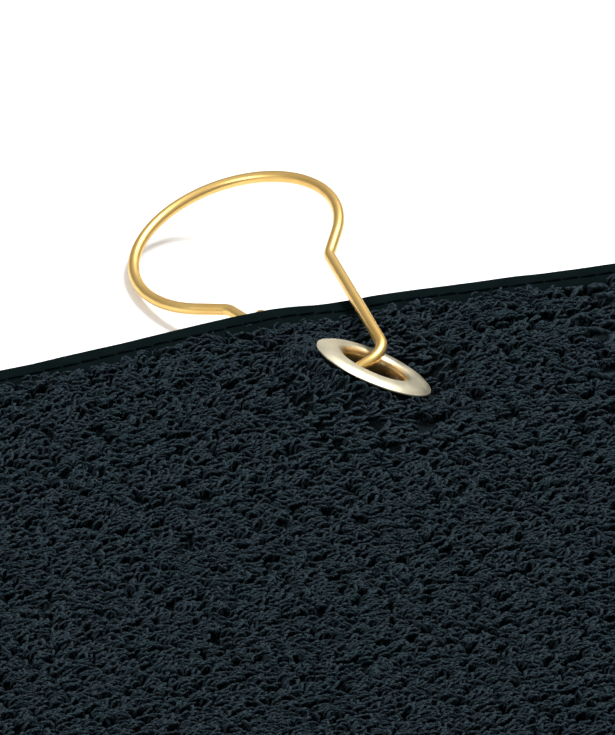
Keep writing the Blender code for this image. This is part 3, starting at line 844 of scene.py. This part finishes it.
loop_mount = next(m for m in frame["record"]["mounts"] if m["name"] == "hook_loop")
loop_center = Vector(loop_mount["pos_m"])
ring_axis = Vector(loop_mount["axis"])
far_end = Vector(joints["gate_open"]["pos_m"])
loop_radius = (loop_center - far_end).length
to_grommet = (loop_center - far_end).normalized()
to_upper_leg = ring_axis.cross(to_grommet)


def hook_point(along, side, out=0.0):
    """A point along from the loop's centre to the grommet, side to the upper leg, out of the plane."""
    return loop_center + to_grommet * along + to_upper_leg * side + ring_axis * out


def arc(center_along, radius, start, stop, dip=0.0):
    """Points on an arc in the hook's plane, in degrees from the grommet's side; dip lowers it as it goes."""
    count = math.ceil(abs(math.radians(stop - start)) * radius / WIRE_STEP)
    points = []
    for step in range(count + 1):
        angle = math.radians(start + (stop - start) * step / count)
        out = -dip * smooth_step(step / count * 1.25)
        points.append(hook_point(center_along + radius * math.cos(angle), radius * math.sin(angle), out))
    return points


def rounded(points, radius):
    """A route of straight runs whose inner corners are rounded to one bend radius."""
    route = [points[0]]
    for before, corner, after in zip(points, points[1:], points[2:]):
        first = (before - corner).normalized()
        second = (after - corner).normalized()
        turn = math.pi - first.angle(second)
        if turn < 0.02:
            route.append(corner)
            continue
        cut_back = radius * math.tan(turn / 2)
        cut_back = min(cut_back, (before - corner).length * 0.5, (after - corner).length * 0.5)
        fitted = cut_back / math.tan(turn / 2)
        center = corner + (first + second).normalized() * (fitted / math.cos(turn / 2))
        start = corner + first * cut_back - center
        axis = start.cross(corner + second * cut_back - center).normalized()
        count = max(2, math.ceil(turn / BEND_STEP))
        for step in range(count + 1):
            route.append(center + Matrix.Rotation(turn * step / count, 3, axis) @ start)
    route.append(points[-1])
    return route


def bent_wire(name, points, finish):
    """A round wire along a route, as a finished mesh."""
    curve = bpy.data.curves.new(name, "CURVE")
    curve.dimensions = "3D"
    curve.bevel_depth = WIRE / 2
    curve.bevel_resolution = WIRE_SIDES
    curve.use_fill_caps = True
    spline = curve.splines.new("POLY")
    spline.points.add(len(points) - 1)
    for target, point in zip(spline.points, points):
        target.co = (*point, 1)
    spline.use_smooth = True
    route = bpy.data.objects.new(name, curve)
    bpy.context.scene.collection.objects.link(route)
    bpy.context.view_layer.update()
    tube = bpy.data.meshes.new_from_object(route.evaluated_get(bpy.context.evaluated_depsgraph_get()))
    bpy.data.objects.remove(route)
    shape = bmesh.new()
    shape.from_mesh(tube)
    bmesh.ops.remove_doubles(shape, verts=shape.verts, dist=0.001 * MM)
    bmesh.ops.recalc_face_normals(shape, faces=shape.faces)
    piece = add_piece(name, shape, finish)
    piece.data.set_sharp_from_angle(angle=math.radians(50))
    return piece


gold = Finish("brass_plated_wire", Metallic=1.0)
drawn = gold.speckle(0.5 * MM, detail=3, stretch=(1, 0.25, 1))
tarnish = gold.ramp(gold.speckle(9 * MM, detail=3), 0.42, 0.72)
gold.drive(
    Base_Color=gold.blend_colors(tarnish * 0.7, (0.80, 0.54, 0.19), (0.60, 0.37, 0.11)),
    Roughness=0.33 + drawn * 0.08 + tarnish * 0.08,
)
gold.bump(drawn, 0.01 * MM, 0.5)

lean = math.atan2(NECK_HALF_WIDTH - BEND_RADIUS, BEND_ALONG - NECK_ALONG)
back_lean = math.atan2(NECK_HALF_WIDTH - BACK_BEND_RADIUS, BEND_ALONG - BACK_LEG_SHORTER - NECK_ALONG)


def catch_point(along_leg, inward, out):
    """A place at the catch, along the hidden leg from the neck, towards the inside and out of the plane."""
    along = NECK_ALONG + along_leg * math.cos(back_lean) - inward * math.sin(back_lean)
    side = -NECK_HALF_WIDTH + along_leg * math.sin(back_lean) + inward * math.cos(back_lean)
    return hook_point(along, side, out)


upper_loop = arc(0, loop_radius, SEAM_ANGLE, LOOP_END_ANGLE)
leg_end = hook_point(BEND_ALONG + BEND_RADIUS * math.sin(lean), BEND_RADIUS * math.cos(lean))
upper_leg = rounded([upper_loop[-1], hook_point(NECK_ALONG, NECK_HALF_WIDTH), leg_end], NECK_BEND)
front_turn = arc(BEND_ALONG, BEND_RADIUS, 90 - math.degrees(lean), 0)
back_center = BEND_ALONG + BEND_RADIUS - BACK_BEND_RADIUS
back_turn = arc(back_center, BACK_BEND_RADIUS, 0, math.degrees(back_lean) - 90, BACK_LEG_DIP)
wrap = WIRE + WIRE_GAP
cradle = rounded(
    [
        back_turn[-1],
        catch_point(JOG_START, 0, 0),
        catch_point(JOG_END, wrap, 0),
        catch_point(CRADLE_ALONG, wrap, 0),
        catch_point(CRADLE_ALONG, wrap, -wrap),
        catch_point(CRADLE_ALONG, -wrap, -wrap),
        catch_point(CRADLE_ALONG, -wrap, CRADLE_TIP),
    ],
    wrap,
)
hook_route = upper_loop + upper_leg[1:-1] + front_turn + back_turn[1:] + cradle[1:]
hook_wire = bent_wire("hook_wire", hook_route, gold)
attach(hook_wire, "hook")
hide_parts("hook_frame")

lower_loop = arc(0, loop_radius, SEAM_ANGLE, 360 - LOOP_END_ANGLE)
gate_end = rounded([lower_loop[-1], catch_point(0, 0, 0), catch_point(GATE_TIP, 0, 0)], NECK_BEND)
gate_wire = bent_wire("gate_wire", lower_loop + gate_end[1:], gold)
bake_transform(gate_wire)
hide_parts("hook_gate")

# ---- The table, the light and the camera ----
# The towel lies on a plain white table under a large soft lamp, with a paler one opposite it.

TABLE_REACH = 40
TABLE_DROP = 0.2 * MM
CAMERA_DISTANCE = 2.2
FRAME_HEIGHT = 110.5 * MM
SENSOR = 36
AIM_LEFT = 10.29 * MM
AIM_DOWN = 0.72 * MM

table = bmesh.new()
bmesh.ops.create_grid(table, x_segments=1, y_segments=1, size=TABLE_REACH)
for vert in table.verts:
    vert.co.z = -TABLE_DROP
table_finish = Finish("white_table", Roughness=0.85, Base_Color=(0.86, 0.86, 0.86, 1))
table_mesh = bpy.data.meshes.new("table")
table.to_mesh(table_mesh)
table.free()
table_mesh.materials.append(table_finish.material)
table_piece = bpy.data.objects.new("table", table_mesh)
bpy.context.scene.collection.objects.link(table_piece)

world = bpy.data.worlds.new("studio")
bpy.context.scene.world = world
world.use_nodes = True
background = world.node_tree.nodes["Background"]
way_up = world.node_tree.nodes.new("ShaderNodeTexCoord")
split = world.node_tree.nodes.new("ShaderNodeSeparateXYZ")
sky = world.node_tree.nodes.new("ShaderNodeValToRGB")
world.node_tree.links.new(way_up.outputs["Generated"], split.inputs[0])
world.node_tree.links.new(split.outputs["Z"], sky.inputs[0])
world.node_tree.links.new(sky.outputs[0], background.inputs[0])
sky.color_ramp.elements[0].position = 0.05
sky.color_ramp.elements[0].color = (0.06, 0.06, 0.06, 1)
sky.color_ramp.elements[1].position = 0.75
sky.color_ramp.elements[1].color = (0.75, 0.75, 0.75, 1)


def add_lamp(name, place, target, size, power):
    lamp = bpy.data.lights.new(name, "AREA")
    lamp.shape = "DISK"
    lamp.size = size
    lamp.energy = power
    holder = bpy.data.objects.new(name, lamp)
    bpy.context.scene.collection.objects.link(holder)
    holder.location = place
    holder.rotation_euler = (Vector(target) - Vector(place)).to_track_quat("-Z", "Y").to_euler()


add_lamp("main_lamp", (0.55, 0.55, 1.2), grommet, 0.5, 22)
add_lamp("fill_lamp", (-1.0, -0.1, 0.7), grommet, 0.5, 7)

camera_right = Vector((0.892, -0.441, 0.091)).normalized()
camera_back = Vector((-0.423, -0.751, 0.508)).normalized()
camera_up = camera_back.cross(camera_right).normalized()
camera_right = camera_up.cross(camera_back)
aim = grommet - camera_right * AIM_LEFT - camera_up * AIM_DOWN
camera = bpy.data.cameras.new("camera")
camera.sensor_width = SENSOR
camera.lens = SENSOR * CAMERA_DISTANCE / FRAME_HEIGHT
camera_piece = bpy.data.objects.new("camera", camera)
bpy.context.scene.collection.objects.link(camera_piece)
turn = Matrix((camera_right, camera_up, camera_back)).transposed().to_4x4()
camera_piece.matrix_world = Matrix.Translation(aim + camera_back * CAMERA_DISTANCE) @ turn
bpy.context.scene.camera = camera_piece
bpy.context.scene.view_settings.view_transform = "Standard"
